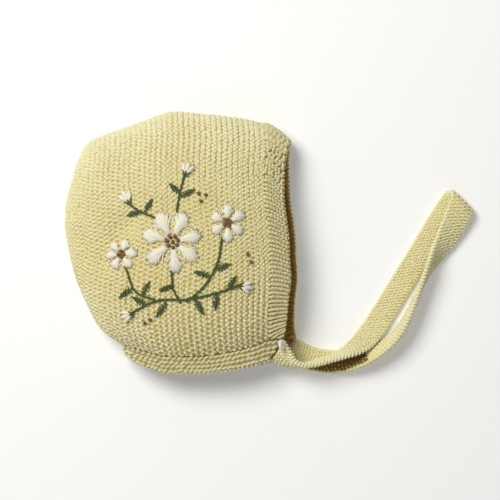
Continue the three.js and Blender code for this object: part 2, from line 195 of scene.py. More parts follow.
# How much single loops vary: turn in radians, length, radius and height as shares, bow in ridges,
# and place across and along the ridge in stitches
TURN_NOISE = 0.16
LENGTH_NOISE = 0.04
RADIUS_NOISE = 0.07
HEIGHT_NOISE = 0.11
BOW_NOISE = 0.02
PLACE_NOISE = (0.05, 0.06)

# The neckband's stitches
NECK_RIDGES = 2
NECK_STITCH = 3.6
NECK_DIVE = 1.1
NECK_BED = 0.8 * BED
NECK_CLOTH_END = 0.97  # the cloth stops short of the rim

# The cast-off rims' strands: radius, bulge, reach past the cloth's two sides, and lean in pitches
RIM_YARN = 0.8
RIM_BULGE = 0.75
RIM_REACH = 0.1
RIM_LEAN = 0.6
RIM_LEAN_NOISE = 0.06
NECK_RIM_PITCH = 0.8 * NECK_STITCH
BAND_RIM_PITCH = 2.7

# The face band's ribs
RIB_PITCH = 5.5
RIB_STITCHES = 6  # across the band
RIB_END = 0.4  # what the rim takes of the band's width, in stitches
RIB_AHEAD = 0.02  # how far off along and across a rib its directions are read, as shares of the band
RIB_ASIDE = 0.004
RIB_YARN = 1.0
RIB_BED = 0.65
RIB_CLOTH_END = 0.98
RIB_FAN = 0.042  # the lowest ribs climb by this share of the band's height
RIB_FAN_REACH = 0.12
RIBS_BELOW = 2  # ribs that start below the band and climb into it
RIB_RANGE = (0.006, 0.995)  # the shares of the band's height that have stitches
# A rib's rows: place in quarters of its pitch, place of the first stitch, and hand, 0 if it is sunken
RIB_ROWS = ((0.12, 0.62, 1), (1.88, 0.3, -1), (3.0, 0.62, 0))
RIB_UNEVEN = (0.68, 0.1)  # height where the stitches turn uneven, and over what share they do
RIB_FOLD = (0.87, 0.04)  # height where they turn plain again on the top fold, and over what share
# Values of the stitches: plain, and what is added to them where they are uneven and on the fold
RIB_LEAN = (0.2, 0.4, -0.2)
RIB_LEAN_NOISE = (0.07, 0.27)
RIB_LIFT = 0.1
RIB_LIFT_NOISE = (0.06, 0.06)
RIB_REACH = (0.9, -0.25, 0.1)
SUNKEN_LEAN = (1.35, -0.5)
SUNKEN_LEAN_NOISE = (0.15, 0.7)
SUNKEN_LIFT = -1.0
SUNKEN_RISE = 0.95  # they lie higher where they are uneven or on the fold
SUNKEN_REACH = (0.6, 0, 0.4)
RIB_SHIFT_NOISE = (0.06, 0.1)
RIB_SLIP_NOISE = 0.22  # in stitches, only where they are uneven
RIB_THICKNESS = (1, 0.12, 0.28)
RIB_THICKNESS_NOISE = 0.05
RIB_DIVE = 0.6
RIB_TAPER = 0.4
RIB_LINING_DEPTH = BAND_WALL - 0.4

# The strap's stitches and the bars of its selvages
STRAP_RIDGES = 5
STRAP_STITCH = 2.25
STRAP_DIVE = 0.55  # how deep the ends of its loops dip
STRAP_SINK = 0.1  # how far its stitches are set into its faces
# The strap's lower end shows its wrong side between these x, below a line with this start and slope; there
# its stitches are dark as painted shadow from its other end
STRAP_SHADE = (84.0, 122.0)
STRAP_SHADE_Y = -80.0
STRAP_SHADE_SLOPE = 0.39
EDGE_PITCH = 2.2  # from one bar of a selvage to the next
EDGE_YARN = 0.95
EDGE_CLEAR = 0.9 * EDGE_YARN  # half width that the bars take
EDGE_SET = 1.1  # how far the bars' ends lie inside the strap's edge
EDGE_BULGE = 0.75
EDGE_LEAN = 0.55
STRAP_CLOTH_SIDE = 0.35  # the strap's cloth is this much smaller to each side,
STRAP_CLOTH_FACE = 0.3  # and to each face
STRAP_CLOTH_CORNER = 0.93  # share of the half width where its faces turn into its edges
STRAP_CLOTH_STEPS = 260

# The button and the thread through its two holes, across and along its axis
BUTTON_PLACE = np.array([65.6, -66.6, 24.6])
BUTTON_TILT = math.radians(66)
BUTTON_YARN = 0.19
BUTTON_THREAD = (
    (-1.08, -2.2), (-1.08, 0.4), (-0.85, 0.98), (0, 1.15), (0.85, 0.98), (1.08, 0.4), (1.08, -2.2)
)

# The embroidery
THREAD = 0.5  # radius
STITCH_TOP = 0.55  # height of the stitches' tops over the CAD surface
THREAD_SINK = 0.9  # how deep a thread goes in at its ends
KNOT_THREAD = 0.55
KNOT_RADIUS = 0.95
KNOT_TURNS = 2.2
STEM_PITCH = 3.0
LEAF_PAIRS = 6
# In plan: x, y and diameter of each flower, its petals and their turn
BLOSSOMS = (
    (-4.0, 0.0, 42.0, 7, 0.3),
    (-37.0, -8.0, 22.0, 6, 0.1),
    (31.0, 12.0, 25.0, 6, 0.5),
)
# x, y, bearing and length
BUDS = (
    (-32.0, 25.0, 118, 9.5),
    (4.0, 43.0, 72, 9.5),
    (39.0, -28.0, -12, 9.5),
    (-30.0, -46.0, 200, 8.5),
)
STEMS = (
    ((-29.0, -45.0), (-14.0, -38.0), (6.0, -37.0), (24.0, -33.0), (38.0, -28.5)),
    ((-5.0, -20.0), (-4.0, -30.0), (0.0, -38.0)),
    ((-34.0, -18.0), (-28.0, -32.0), (-14.0, -38.0)),
    ((27.0, 1.0), (24.0, -14.0), (16.0, -28.0), (6.0, -37.0)),
    ((-16.0, 16.0), (-25.0, 20.0), (-31.0, 24.0)),
    ((-1.0, 21.0), (1.0, 32.0), (3.5, 42.0)),
)
# x, y, bearing, length and width
LEAVES = (
    (-20.0, -41.0, 150, 12, 5),
    (-8.0, -38.5, -125, 12, 5),
    (10.0, -36.5, -60, 12, 5),
    (24.0, -33.0, -95, 11, 5),
    (31.0, -31.0, 60, 11, 5),
    (22.0, -18.0, 20, 12, 5.5),
    (20.0, -22.0, 165, 11, 5),
    (-29.0, -29.0, 215, 12, 5),
    (-24.0, -35.0, 62, 11, 5),
    (-22.0, 19.0, 60, 10, 4.5),
    (-24.0, 19.5, 195, 10, 4.5),
    (0.5, 29.0, 25, 11, 5),
    (1.0, 31.0, 140, 10, 4.5),
    (-3.5, -28.0, 200, 10, 4.5),
)
# x and y of the single knots
BERRIES = (
    (14.0, 26.0), (17.0, 30.0), (12.5, 31.0), (-22.0, -52.0), (-18.5, -50.0), (44.0, -8.0), (46.0, -13.0)
)

# Colour of the crest and of the flanks, plies and twist of each yarn and thread; the paler crest is painted
# light and the deeper flanks are painted shade
YARNS = (
    ("garter_yarn", (238, 234, 196), (214, 192, 106), 3, 0.42),
    ("core_yarn", (226, 212, 144), (208, 182, 94), 3, 0.42),
    # the neckband's yarn is darker: painted shade, as the band faces down and away from the light
    ("shaded_neck_yarn", (224, 219, 178), (196, 178, 100), 3, 0.42),
    ("rib_yarn", (231, 224, 174), (204, 180, 96), 3, 0.42),
    ("strap_yarn", (246, 242, 202), (228, 210, 134), 3, 0.42),
    # the inside's yarn is deep brown: painted shade of the hollow inside the bonnet, the same yarn as
    # outside
    ("shaded_inside_yarn", (194, 144, 34), (134, 84, 3), 3, 0.42),
    # painted shadow on the strap's wrong side, where its other end lies over it
    ("painted_shade_strap_yarn", (140, 102, 34), (98, 64, 8), 3, 0.42),
    ("cream_thread", (246, 242, 226), (220, 210, 180), 2, 0.8),
    ("green_thread", (80, 98, 42), (36, 50, 14), 2, 0.8),
    ("brown_thread", (142, 98, 48), (80, 48, 12), 2, 0.8),
)
# Colour and deeper patches of each cloth under the stitches: the yarn's yellow, deepened to ochre by painted
# shade where it shows in the gaps
CLOTHS = (
    ("ground_cloth", (222, 202, 114), (200, 174, 84)),
    ("strap_ground_cloth", (232, 218, 152), (216, 198, 122)),
    # the neckband's cloth is darker still: painted shade between its rows, which face away from the light
    ("shaded_neck_cloth", (180, 164, 102), (154, 136, 78)),
)
PEARL = ((246, 243, 234), (228, 222, 206))

# Floor, light and camera, in metres
FLOOR_HALF = 3.0
FLOOR_GLOW = 0.12
WORLD_STRENGTH = 0.23
VIEW_CENTRE = (0.0455, -0.0052)
FRAME_WIDTH = 0.325
CAMERA_HEIGHT = 2.2
SENSOR = 36  # in millimetres
# Name, direction, distance, size, power and colour
LIGHTS = (
    ("key", (-0.52, 0.5, 0.94), 1.6, 0.8, 21.5, (1.0, 0.99, 0.95)),
    ("fill", (0.1, -0.75, 0.7), 2.0, 1.2, 3.6, (1, 1, 1)),
)


# Curves and surfaces

def hermite(t, start, end, start_slope, end_slope):
    """A cubic from start to end as t goes from 0 to 1, with these slopes at its ends."""
    return (
        (2 * t**3 - 3 * t**2 + 1) * start
        + (t**3 - 2 * t**2 + t) * start_slope
        + (3 * t**2 - 2 * t**3) * end
        + (t**3 - t**2) * end_slope
    )


def reader(table, column):
    """A smooth curve through one column of a table, read at values of its first column."""
    keys = table[:, 0]
    values = table[:, column]
    before = np.maximum(np.arange(len(keys)) - 1, 0)
    after = np.minimum(np.arange(len(keys)) + 1, len(keys) - 1)
    slopes = (values[after] - values[before]) / (keys[after] - keys[before])

    def read(at):
        at = np.asarray(at, float)
        i = np.clip(np.searchsorted(keys, at, side="left") - 1, 0, len(keys) - 2)
        span = keys[i + 1] - keys[i]
        t = np.clip((at - keys[i]) / span, 0, 1)
        return hermite(t, values[i], values[i + 1], span * slopes[i], span * slopes[i + 1])

    return read


back_x, band_x, face_x = (reader(ROWS, column) for column in (1, 2, 3))
seam_y, top_y = (reader(COLUMNS, column) for column in (1, 2))
rim_x, rim_y = (reader(NECK_RIM, column) for column in (1, 2))


def lerp(a, b, t):
    return a + (b - a) * t


def unit(v):
    return v / np.maximum(np.linalg.norm(v, axis=-1, keepdims=True), 1e-9)


def stack(*parts):
    return np.stack(np.broadcast_arrays(*parts), axis=-1)


def round_off(at, power):
    return (1 - np.clip(at, 0, 1) ** power) ** (1 / power)


def row_run(points):
    """Distance along a row of points."""
    return np.concatenate([[0], np.cumsum(np.linalg.norm(np.diff(points, axis=0), axis=1))])


def read_along(values, run, at):
    """Rows of values at distances at, from rows of them at distances run."""
    return np.stack([np.interp(at, run, column) for column in values.T], axis=1)


def even_steps(count, power, length, height):
    """Places from 0 to 1 evenly spaced along a superellipse, measured on points that crowd toward 1."""
    places = 1 - (1 - np.linspace(0, 1, 4001)) ** 3
    run = row_run(stack(length * places, height * round_off(places, power)))
    return np.interp(np.linspace(0, run[-1], count + 1), run, places)


def layer_steps(near, count, length, sink=0.0):
    """Even steps along the near or the far layer of the cap, whose near rise is less by sink."""
    if near:
        return even_steps(count, NEAR_ROUND, length, NEAR_RISE * (1 - sink))
    return even_steps(count, FAR_ROUND, length, FOLD_LEVEL)


def crease_distance(x, y):
    best = np.full(np.shape(x), np.inf)
    for a, b in zip(CREASE[:-1], CREASE[1:]):
        d = b - a
        t = np.clip(((x - a[0]) * d[0] + (y - a[1]) * d[1]) / (d @ d), 0, 1)
        best = np.minimum(best, np.hypot(x - a[0] - t * d[0], y - a[1] - t * d[1]))
    return best


def near_z(x, y, to_face, to_neck, inward, up):
    face = 1 - FACE_SINK * np.exp(-to_face / FACE_REACH)
    neck = 1 - NECK_SINK * np.exp(-to_neck / NECK_REACH)
    swell = round_off(inward, NEAR_ROUND) * round_off(up, NEAR_ROUND)
    dent = CREASE_DEPTH * np.exp(-((crease_distance(x, y) / CREASE_WIDTH) ** 2))
    return FOLD_LEVEL + swell * (NEAR_RISE * face * neck - dent)


def far_z(inward, up):
    swell = round_off(inward, FAR_ROUND) * round_off(up, FAR_ROUND)
    return np.maximum(0, FOLD_LEVEL * (1 - FAR_PRESS * swell))


def far_shift(inward, up):
    return FAR_SHIFT * (1 - inward) * (1 - up**FAR_ROUND)


def cap_point(near, inward, up):
    x = lerp(band_x(up), back_x(up), inward)
    y = lerp(seam_y(inward), top_y(inward), up)
    if not near:
        return stack(x + far_shift(inward, up), y, far_z(inward, up))
    return stack(x, y, near_z(x, y, face_x(up) - x, y - seam_y(inward), inward, up))


def band_point(near, out, up):
    x = lerp(band_x(up), face_x(up), out)
    low = lerp(seam_y(0), FACE_SEAM_Y, out)
    high = lerp(top_y(0), FACE_TOP_Y, out**TOP_TURN)
    y = lerp(low, high, up)
    if not near:
        flare = FAR_FLARE * out**2 * np.exp((low - y) / FLARE_REACH)
        return stack(x + far_shift(0, up) + flare, y, far_z(0, up) + 0 * out)
    return stack(x, y, near_z(x, y, face_x(up) - x, y - low, 0, up))


def neck_point(near, inward, down):
    seam_x = lerp(NECK_START_X, back_x(0), inward)
    cap_share = (band_x(0) - seam_x) / (band_x(0) - back_x(0))
    share = np.maximum(cap_share, 0)
    upper_y = seam_y(share) - np.where(cap_share < 0, cap_share * NECK_FRONT_RISE, 0)
    x = lerp(seam_x, rim_x(inward), down)
    y = lerp(upper_y, rim_y(inward), down)
    if not near:
        corner = np.maximum(0, 1 - inward * CAP_DEPTH / BAND_WIDTH)
        flare = FAR_FLARE * corner**2 * (1 - down / 2)
        return stack(x + far_shift(share, 0) + flare, y, far_z(share, 0))
    return stack(x, y, near_z(x, y, face_x(0) - x, 0 * x, share, 0))


def catmull_rom(points, at):
    """A centripetal Catmull-Rom curve through the first three columns; the rest ride with it."""
    first = 2 * points[0] - points[1]
    last = 2 * points[-1] - points[-2]
    padded = np.vstack([first, points, last])
    i = np.clip(np.floor(at).astype(int), 0, len(points) - 2)
    t = (at - i)[:, None]
    p = [padded[i + k] for k in range(4)]
    d = [np.sqrt(np.linalg.norm(b[:, :3] - a[:, :3], axis=1))[:, None] for a, b in zip(p, p[1:])]
    d = [np.maximum(step, 1e-4) for step in d]
    t1 = (p[1] - p[0]) / d[0] - (p[2] - p[0]) / (d[0] + d[1]) + (p[2] - p[1]) / d[1]
    t2 = (p[2] - p[1]) / d[1] - (p[3] - p[1]) / (d[1] + d[2]) + (p[3] - p[2]) / d[2]
    return hermite(t, p[1], p[2], t1 * d[1], t2 * d[1])


def strap_frames(count):
    """Middle, direction, width vector, normal and half width at even steps, and the strap's length."""
    across = np.radians(STRAP[:, 3])
    rise = np.radians(STRAP[:, 4])
    edge = stack(np.cos(across) * np.cos(rise), np.sin(across) * np.cos(rise), np.sin(rise))
    keys = np.hstack([STRAP[:, :3], edge, STRAP[:, 5:]])
    curve = catmull_rom(keys, np.linspace(0, len(STRAP) - 1, 4000))
    run = row_run(curve[:, :3])
    row = read_along(curve, run, np.linspace(0, run[-1], count + 1))
    middle = row[:, :3]
    along = unit(np.gradient(middle, axis=0))
    width = unit(row[:, 3:6])
    normal = unit(np.cross(along, width))
    return middle, along, width, normal, (STRAP_WIDTH + row[:, 6]) / 2, run[-1]


# Meshes

def add(name, data):
    """A new object in the scene."""
    made = bpy.data.objects.new(name, data)
    bpy.context.scene.collection.objects.link(made)
    return made


def piece(name, vertices, faces, material, uvs=None):
    """A mesh from millimetre vertices. faces is a list of (n, 3) or (n, 4) index arrays."""
    mesh = bpy.data.meshes.new(name)
    mesh.vertices.add(len(vertices))
    mesh.vertices.foreach_set("co", (np.asarray(vertices) * MM).astype(np.float32).ravel())
    loops = np.concatenate([block.ravel() for block in faces])
    sizes = np.concatenate([np.full(len(block), block.shape[1]) for block in faces])
    starts = np.concatenate([[0], np.cumsum(sizes)[:-1]])
    mesh.loops.add(len(loops))
    mesh.loops.foreach_set("vertex_index", loops.astype(np.int32))
    mesh.polygons.add(len(sizes))
    mesh.polygons.foreach_set("loop_start", starts.astype(np.int32))
    mesh.polygons.foreach_set("use_smooth", np.ones(len(sizes), bool))
    if uvs is not None:
        corners = np.concatenate([block.reshape(-1, 2) for block in uvs])
        uv_layer = mesh.uv_layers.new(name="UVMap")
        uv_layer.data.foreach_set("uv", corners.astype(np.float32).ravel())
    mesh.update(calc_edges=True)
    mesh.validate()
    mesh.materials.append(material)
    made = add(name, mesh)
    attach(made, "root")
    return made


def tubes(paths, radii, normals, sides):
    """Closed tapered strands. paths is (n, m, 3), radii fits (n, m) or is one number, normals is (n, 3)."""
    n, m, _ = paths.shape
    radii = np.broadcast_to(radii, (n, m))
    along = unit(np.gradient(paths, axis=1))
    side = unit(np.cross(along, normals[:, None]))
    top = np.cross(side, along)
    turn = 2 * np.pi * np.arange(sides) / sides
    ring = side[:, :, None] * np.cos(turn)[:, None] + top[:, :, None] * np.sin(turn)[:, None]
    body = paths[:, 1:-1, None] + radii[:, 1:-1, None, None] * ring[:, 1:-1]
    vertices = np.concatenate([body.reshape(n, -1, 3), paths[:, :1], paths[:, -1:]], axis=1)
    steps = np.linalg.norm(np.diff(paths, axis=1), axis=2)
    run = np.concatenate([np.zeros((n, 1)), np.cumsum(steps, axis=1)], axis=1)

    # each row of faces: its corners, then their points along the strand and steps around it
    k = np.arange(sides)
    following = (k + 1) % sides
    quads = []
    for j in range(m - 3):
        a, b = j * sides + k, j * sides + following
        corners = np.stack([a, b, b + sides, a + sides], axis=1)
        quads.append((corners, [j + 1, j + 1, j + 2, j + 2], np.array([0, 1, 1, 0])))
    last = (m - 3) * sides
    tip = np.full(sides, last + sides)
    start_cap = np.stack([tip, following, k], axis=1)
    end_cap = np.stack([tip + 1, last + k, last + following], axis=1)
    caps = [
        (start_cap, [0, 1, 1], np.array([0.5, 1, 0])),
        (end_cap, [m - 1, m - 2, m - 2], np.array([0.5, 0, 1])),
    ]

    first = (np.arange(n) * vertices.shape[1])[:, None, None]
    faces, uvs = [], []
    for rows in (quads, caps):
        block = np.concatenate([first + corners for corners, _, _ in rows], axis=1)
        faces.append(block.reshape(-1, block.shape[-1]))
        spots = []
        for _, points, around in rows:
            u = np.broadcast_to(run[:, points][:, None], (n, sides, len(points)))
            v = np.broadcast_to((k[:, None] + around) / sides, u.shape)
            spots.append(np.stack([u, v], axis=-1))
        uvs.append(np.concatenate(spots, axis=1))
    return vertices.reshape(-1, 3), faces, uvs


def strands(name, groups, material):
    """One piece from several groups of strands, kept above the table."""
    vertices, faces, uvs, offset = [], [], [], 0
    for paths, radii, normals, sides in groups:
        v, f, uv = tubes(paths, radii, normals, sides)
        vertices.append(v)
        faces += [block + offset for block in f]
        uvs += uv
        offset += len(v)
    vertices = np.concatenate(vertices)
    vertices[:, 2] = np.maximum(vertices[:, 2], STRAND_FLOOR)
    return piece(name, vertices, faces, material, uvs)


def grid_cells(grid):
    """The four corners of every cell in a grid of indices."""
    return np.stack([grid[:-1, :-1], grid[1:, :-1], grid[1:, 1:], grid[:-1, 1:]], axis=-1).reshape(-1, 4)


def layer(name, points, outer, inner, material, folded=False):
    """A closed layer of cloth from a grid of points, its sides set in from it by outer and inner.

    A folded one's last row meets itself, one half over the other."""
    rows, cols, _ = points.shape
    normals = unit(np.cross(np.gradient(points, axis=0), np.gradient(points, axis=1)))
    index = np.arange(rows * cols).reshape(rows, cols)
    if folded:
        normals[-1] = unit(normals[-1] + normals[-1, ::-1])
        index[-1] = np.minimum(index[-1], index[-1, ::-1])
    top = points - outer * normals
    bottom = points - inner * normals
    top[..., 2] = np.maximum(top[..., 2], CLOTH_FLOOR)
    under = rows * cols
    faces = [grid_cells(index), grid_cells(index + under)[:, ::-1]]
    rims = [index[0], index[::-1, 0], index[:, -1]]
    if not folded:
        rims.append(index[-1, ::-1])
    for rim in rims:
        a, b = rim[:-1], rim[1:]
        faces.append(np.stack([a, b, b + under, a + under], axis=-1))
    vertices = np.concatenate([top.reshape(-1, 3), bottom.reshape(-1, 3)])
    return piece(name, vertices, faces, material)


# Stitches

UP = np.array([0, 0, 1])
BACK = np.array([-1, 0, 0])


def knit_sheet(table, facing, valid=None):
    """A table of points, which of them have stitches, and its across, along and outward directions.

    Its outer side looks toward facing on the whole."""
    across = unit(np.gradient(table, axis=0))
    along = unit(np.gradient(table, axis=1))
    outward = unit(np.cross(across, along))
    if np.mean(outward @ facing) < 0:
        outward = -outward
    if valid is None:
        valid = np.ones(table.shape[:2], bool)
    return table, valid, (across, along, outward)


def garter(sheet, pitch, stitch, shape, seed, rings=5, sides=6, inside=0.0, dive=LOOP_DIVE, loose=False):
    """Garter stitches over a knit_sheet that has four points to a ridge and four to a stitch.

    Each ridge is two rows of loops half a stitch apart. shape is the loops' lean, join, draw, half length
    and radius, for all or by height. inside is the depth of the inner side, for stitches on that one.
    loose ridges start their stitches anywhere."""
    draw = np.random.default_rng(seed)
    table, valid, (across, along, outward) = sheet
    shape = np.asarray(shape, float).reshape(5, -1)
    shape = np.broadcast_to(shape, (len(shape), table.shape[1]))
    a = np.linspace(-1, 1, rings)
    ridges = 4 * np.arange(table.shape[0] // 4)
    phases = draw.integers(0, 4, len(ridges)) if loose else np.zeros(len(ridges))
    groups = []
    for phase, (column, hand) in itertools.product(range(4), ((1, -1), (3, 1))):
        chosen = ridges[phases == phase] + column
        at = np.ix_(chosen, np.arange((phase + column) % 4, table.shape[1], 4))
        use = valid[at]
        if not use.any():
            continue
        centre = table[at][use]
        b, t, n = across[at][use], along[at][use], outward[at][use]
        if inside:
            centre = centre - inside * n
            n = -n
        count = len(centre)
        lean, join, drawn, reach, radius = (np.broadcast_to(row[at[1]], use.shape)[use] for row in shape)
        centre = centre - b * (hand * pitch * drawn)[:, None]
        turn = (lean + draw.normal(0, TURN_NOISE, count))[:, None]
        b2, t2 = b * np.cos(turn) - t * np.sin(turn), t * np.cos(turn) + b * np.sin(turn)
        reach = reach * draw.normal(1, LENGTH_NOISE, count)
        bow = pitch * draw.normal(LOOP_BOW, BOW_NOISE, count) * (1 - join)
        radius = radius * draw.normal(1, RADIUS_NOISE, count)
        height = CREST - radius + draw.normal(0, HEIGHT_NOISE, count) * radius
        outer = hand * np.where(lean < 0, -1, 1)[:, None] * a > 0
        ends = np.where(outer, 1.0, (1 - join)[:, None])
        span = np.where(outer, 1.0, 1 + JOINED_REACH * join[:, None])
        x = hand * bow[:, None] * (1 - a**2) + draw.normal(0, PLACE_NOISE[0] * stitch, count)[:, None]
        y = reach[:, None] * a * span + draw.normal(0, PLACE_NOISE[1] * stitch, count)[:, None]
        z = height[:, None] - dive * radius[:, None] * np.abs(a) ** 2.5 * ends
        paths = (
            centre[:, None]
            + x[..., None] * b2[:, None]
            + y[..., None] * t2[:, None]
            + z[..., None] * n[:, None]
        )
        radii = radius[:, None] * (1 - LOOP_TAPER * np.abs(a) ** 3 * ends)
        groups.append((paths, radii, n, sides))
    return groups


def ridge_cores(sheet):
    """A thick strand along every ridge, which the loops of its stitches wrap, through every third point."""
    table, valid, (_, _, outward) = sheet
    groups = []
    for column in range(2, table.shape[0], 4):
        rows = np.flatnonzero(valid[column])[::3]
        if len(rows) < 4:
            continue
        path = table[column, rows] - CORE_DEPTH * outward[column, rows]
        groups.append((path[None], CORE, outward[column, rows[:1]], 6))
    return groups


def cap_sheet(near):
    """The cap's sheet of points, every quarter ridge and quarter stitch, and the rows' heights."""
    dense = layer_steps(near, 400, CAP_DEPTH)
    ups = layer_steps(near, 4 * STITCHES_UP, CAP_HEIGHT)
    ups[0] = SEAM_TRIM / CAP_HEIGHT / 2
    runs = [row_run(cap_point(near, dense, np.full_like(dense, up))) for up in ups]
    ridges = 4 * math.ceil(max(run[-1] for run in runs) / RIDGE_PITCH)
    steps = np.arange(ridges + 1) * RIDGE_PITCH / 4
    table = np.zeros((ridges + 1, len(ups), 3))
    valid = np.zeros(table.shape[:2], bool)
    for j, (up, run) in enumerate(zip(ups, runs)):
        wanted = steps * (1 + FAN * math.sin(math.pi * min(up / FAN_UP, 1)))
        inward = np.interp(wanted, run, dense)
        valid[:, j] = wanted <= run[-1] - FOLD_CLEAR
        table[:, j] = cap_point(near, inward, np.full_like(inward, up))
    return knit_sheet(table, UP if near else -UP, valid), ups


def back_sheet():
    """The sheet of the one ridge that follows the fold at the back, and the rows' heights."""
    places = 1 - np.linspace(0.12, 0, 60) ** 2  # close to the fold, and closest together there
    ups = even_steps(4 * STITCHES_UP, NEAR_ROUND, CAP_HEIGHT, FOLD_LEVEL)
    offsets = np.arange(-2, 3) * RIDGE_PITCH / 4
    table = np.zeros((5, len(ups), 3))
    for j, up in enumerate(ups):
        height = np.full_like(places, up)
        row = np.concatenate([cap_point(True, places, height), cap_point(False, places, height)[-2::-1]])
        run = row_run(row)
        table[:, j] = read_along(row, run, run[len(places) - 1] + offsets)
    return knit_sheet(table, BACK), ups


def loop_shapes(ups):
    """The shape of the cap's loops at each height."""
    return read_along(LOOPS[:, 1:], LOOPS[:, 0], ups).T


def rim_chain(line, out, normals, pitch, wall, seed):
    """A cast-off edge: strands that cross the thickness of the cloth, one after the other."""
    draw = np.random.default_rng(seed)
    run = row_run(line)
    at = np.arange(pitch / 2, run[-1], pitch)
    centre, away, up = (read_along(values, run, at) for values in (line, out, normals))
    away, up = unit(away), unit(up)
    forward = unit(np.cross(up, away))
    a = np.linspace(-1, 1, 6)[None, :, None]
    lean = draw.normal(RIM_LEAN, RIM_LEAN_NOISE, len(at))[:, None, None]
    paths = (
        centre[:, None]
        - up[:, None] * (wall / 2)
        + up[:, None] * a * (wall / 2 + RIM_REACH)
        - away[:, None] * RIM_BULGE * a**2
        + forward[:, None] * a * pitch * lean
    )
    return paths, RIM_YARN, away, 6


# Materials

def tone(*channels):
    """An sRGB colour of 0 to 255 as linear RGBA."""
    shares = [channel / 255 for channel in channels]
    return (*(c / 12.92 if c <= 0.04045 else ((c + 0.055) / 1.055) ** 2.4 for c in shares), 1.0)


class Shader:
    """A Principled material and short ways to add nodes to it."""

    def __init__(self, name, roughness):
        self.material = bpy.data.materials.new(name)
        self.material.use_nodes = True
        self.tree = self.material.node_tree
        self.surface = self.tree.nodes["Principled BSDF"]
        self.put("Roughness", roughness)

    def feed(self, socket, value):
        """Links an output to a socket, or gives the socket a value."""
        if isinstance(value, bpy.types.NodeSocket):
            self.tree.links.new(value, socket)
        else:
            socket.default_value = value

    def put(self, name, value):
        self.feed(self.surface.inputs[name], value)

    def node(self, kind, inputs, **settings):
        made = self.tree.nodes.new(kind)
        for name, value in settings.items():
            setattr(made, name, value)
        for key, value in inputs.items():
            self.feed(made.inputs[key], value)
        return made

    def place(self, name):
        return self.node("ShaderNodeTexCoord", {}).outputs[name]

    def math(self, operation, *values):
        return self.node("ShaderNodeMath", dict(enumerate(values)), operation=operation).outputs[0]

    def noise(self, scale, detail=2.0):
        inputs = {"Vector": self.place("Object"), "Scale": scale, "Detail": detail}
        return self.node("ShaderNodeTexNoise", inputs).outputs["Fac"]

    def ramp(self, factor, stops):
        made = self.node("ShaderNodeValToRGB", {"Fac": factor})
        for element, (place, colour) in zip(made.color_ramp.elements, stops):
            element.position = place
            element.color = colour
        return made.outputs["Color"]

    def mix(self, factor, a, b, blend="MIX"):
        inputs = {0: factor, 6: a, 7: b}
        return self.node("ShaderNodeMix", inputs, data_type="RGBA", blend_type=blend).outputs[2]

    def bump(self, height, distance):
        made = self.node("ShaderNodeBump", {"Strength": 0.8, "Distance": distance, "Height": height})
        self.put("Normal", made.outputs["Normal"])


def yarn_material(name, crest, flank, plies, twist):
    """Plied yarn: a paler crest as painted light, deeper colour on its flanks as painted shade, twisted
    plies and loose fibres.
    """
    shader = Shader(name, roughness=0.92)
    uv = shader.node("ShaderNodeSeparateXYZ", {0: shader.place("UV")}).outputs
    # painted light and shade: the side of each strand that faces out of the cloth is paler, and its flanks
    # are deeper
    around = shader.math("SINE", shader.math("MULTIPLY", uv["Y"], 2 * math.pi))
    painted_light_share = shader.math("MULTIPLY_ADD", around, 0.5, 0.5)
    patches = shader.math("MULTIPLY", shader.noise(scale=45.0), 0.35)
    colour = shader.ramp(painted_light_share, [(0.15, tone(*flank)), (0.5, tone(*crest))])
    shader.put("Base Color", shader.mix(patches, colour, tone(*flank), "MULTIPLY"))
    slant = shader.math("MULTIPLY", uv["X"], twist)
    turns = shader.math("ADD", shader.math("MULTIPLY", uv["Y"], plies), slant)
    ply = shader.math("SINE", shader.math("MULTIPLY", turns, 2 * math.pi))
    fibres = shader.noise(scale=2600.0, detail=3.0)
    shader.bump(shader.math("ADD", shader.math("MULTIPLY", ply, 0.5), fibres), distance=0.00012)
    shader.put("Sheen Weight", 0.25)
    shader.put("Sheen Roughness", 0.5)
    return shader.material


def cloth_material(name, colour, deep):
    """The cloth under the stitches; its ochre in the gaps is the yarn's yellow deepened by painted shade."""
    shader = Shader(name, roughness=0.95)
    patches = shader.noise(scale=900.0, detail=3.0)
    shader.put("Base Color", shader.mix(patches, tone(*colour), tone(*deep)))
    shader.bump(shader.noise(scale=2200.0, detail=3.0), distance=0.0003)
    return shader.material


yarn = {name: yarn_material(name, *values) for name, *values in YARNS}
cloth = {name: cloth_material(name, *values) for name, *values in CLOTHS}

# The cap

near_sheet, near_ups = cap_sheet(True)
far_sheet, far_ups = cap_sheet(False)
fold_sheet, fold_ups = back_sheet()

near_groups = garter(near_sheet, RIDGE_PITCH, STITCH_PITCH, loop_shapes(near_ups), seed=11, loose=True)
near_groups += garter(fold_sheet, RIDGE_PITCH, STITCH_PITCH, loop_shapes(fold_ups), seed=15)
near_work = strands("cap_stitches_near", near_groups, yarn["garter_yarn"])
core_groups = ridge_cores(near_sheet) + ridge_cores(far_sheet) + ridge_cores(fold_sheet)
strands("cap_ridges", core_groups, yarn["core_yarn"])
far_groups = garter(far_sheet, RIDGE_PITCH, STITCH_PITCH, loop_shapes(far_ups), seed=12, sides=5, loose=True)
far_work = strands("cap_stitches_far", far_groups, yarn["garter_yarn"])
# painted shade: the stitches of the cap's inside get the deep brown yarn
lining = []
for (table, valid, frames), ups, seed in ((near_sheet, near_ups, 13), (far_sheet, far_ups, 14)):
    inner_sheet = (table, valid & (ups < LINING_TOP), frames)
    lining += garter(
        inner_sheet, RIDGE_PITCH, STITCH_PITCH, INSIDE_LOOPS, seed=seed, sides=4, inside=LINING_DEPTH
    )
strands("cap_stitches_inside", lining, yarn["shaded_inside_yarn"])


